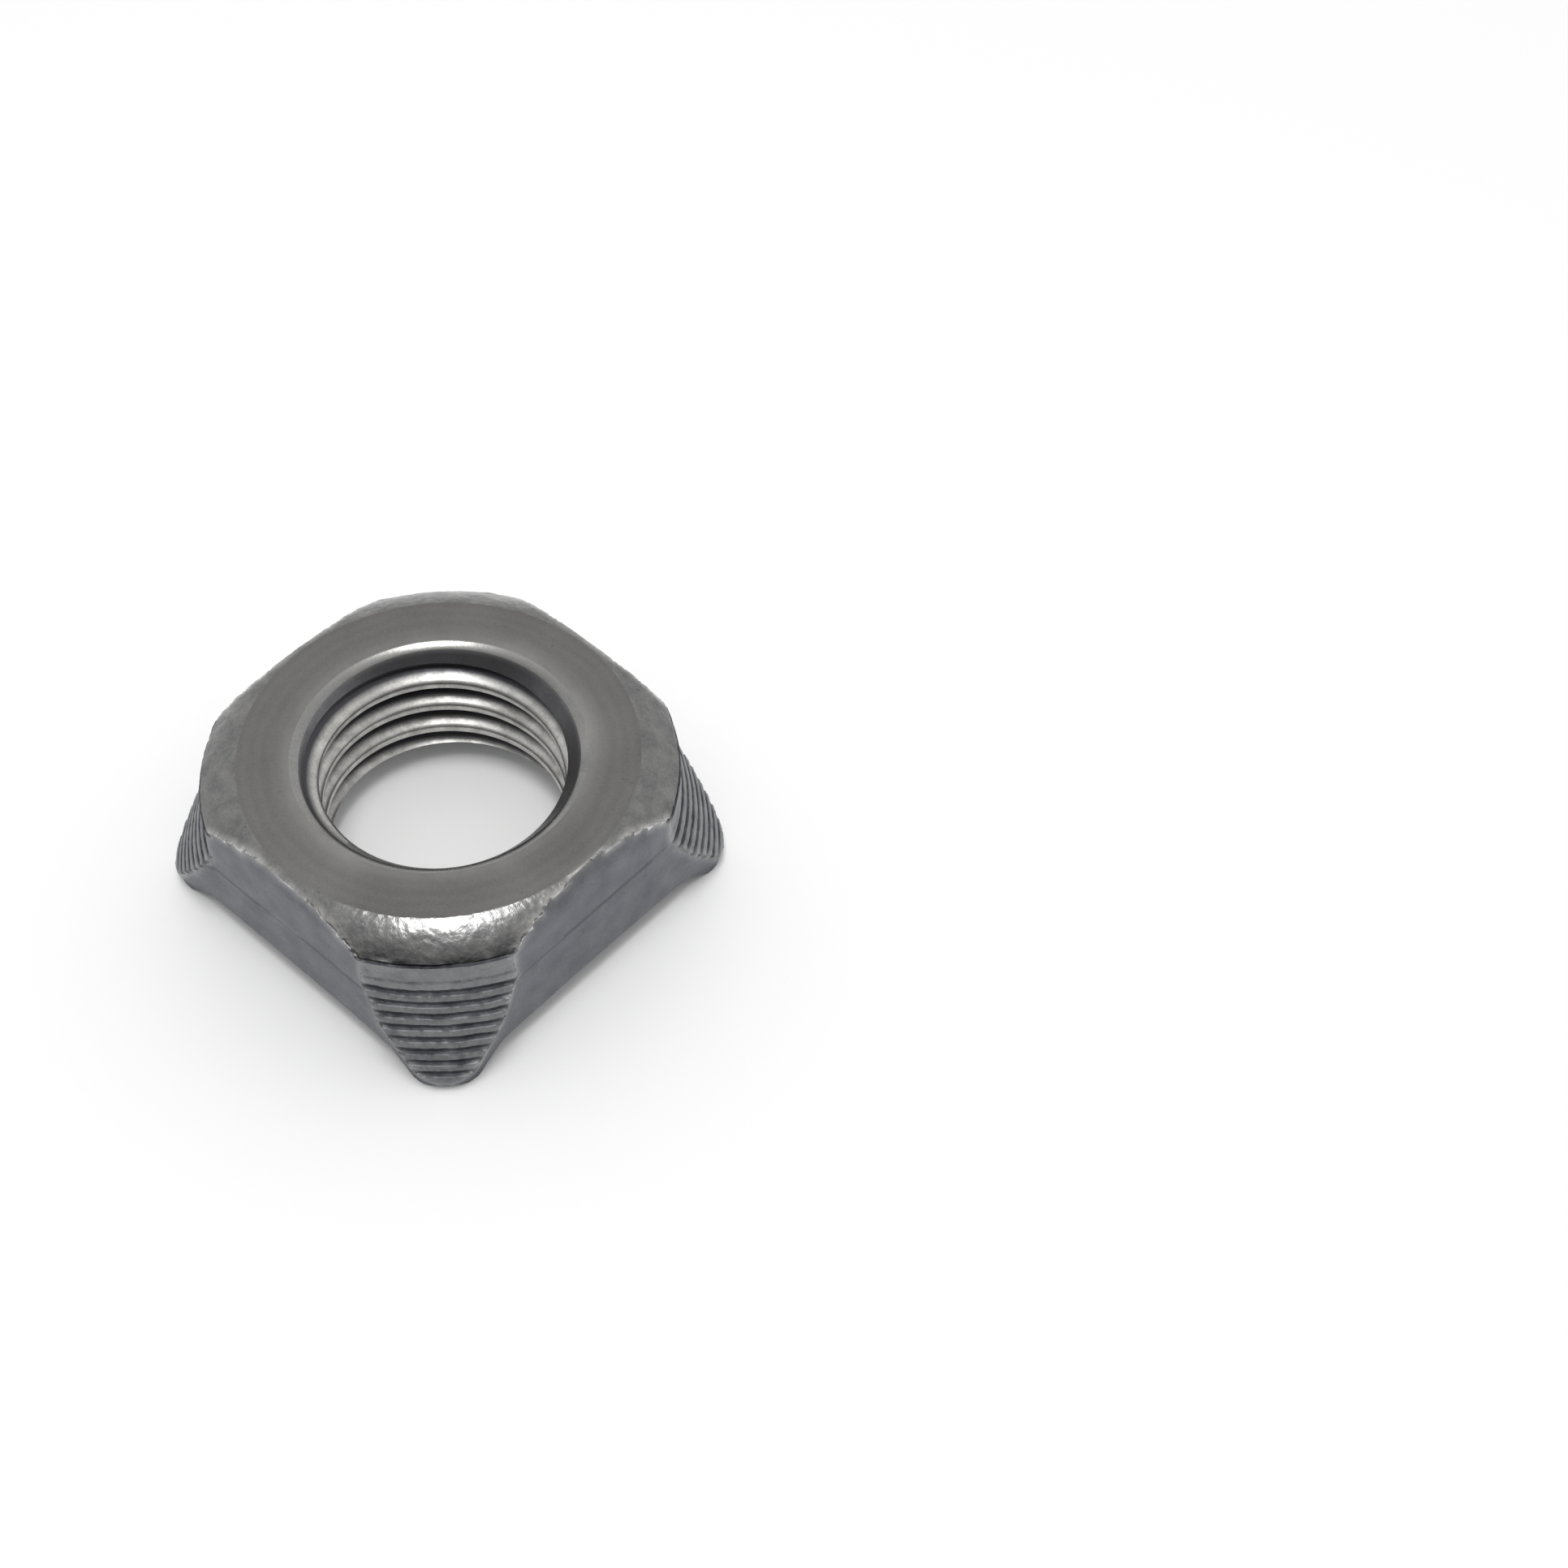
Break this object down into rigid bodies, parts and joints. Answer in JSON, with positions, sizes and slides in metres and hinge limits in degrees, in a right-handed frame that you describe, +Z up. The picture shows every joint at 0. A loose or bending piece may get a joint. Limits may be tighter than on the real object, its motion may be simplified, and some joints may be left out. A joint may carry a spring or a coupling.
{
  "type": "square weld nut",
  "caption": "Square weld nut with a threaded through bore, a countersunk rim, chamfered corners and flared, ribbed weld horns that stand on the sheet.",
  "frame": {"origin": "on the bore axis, in the plane of the horn feet", "axes": "+Z up along the bore axis, from the horn feet to the top face; X and Y square to the flat sides, with the horns on the diagonals"},
  "size_m": [0.0246, 0.0246, 0.0099],
  "materials": {
    "plain_steel": "uncoated steel, satin on the top face, dull on the sides, burnished on the corner chamfers"
  },
  "bodies": {
    "root": {"weld_nut": "plain_steel"}
  },
  "joints": []
}
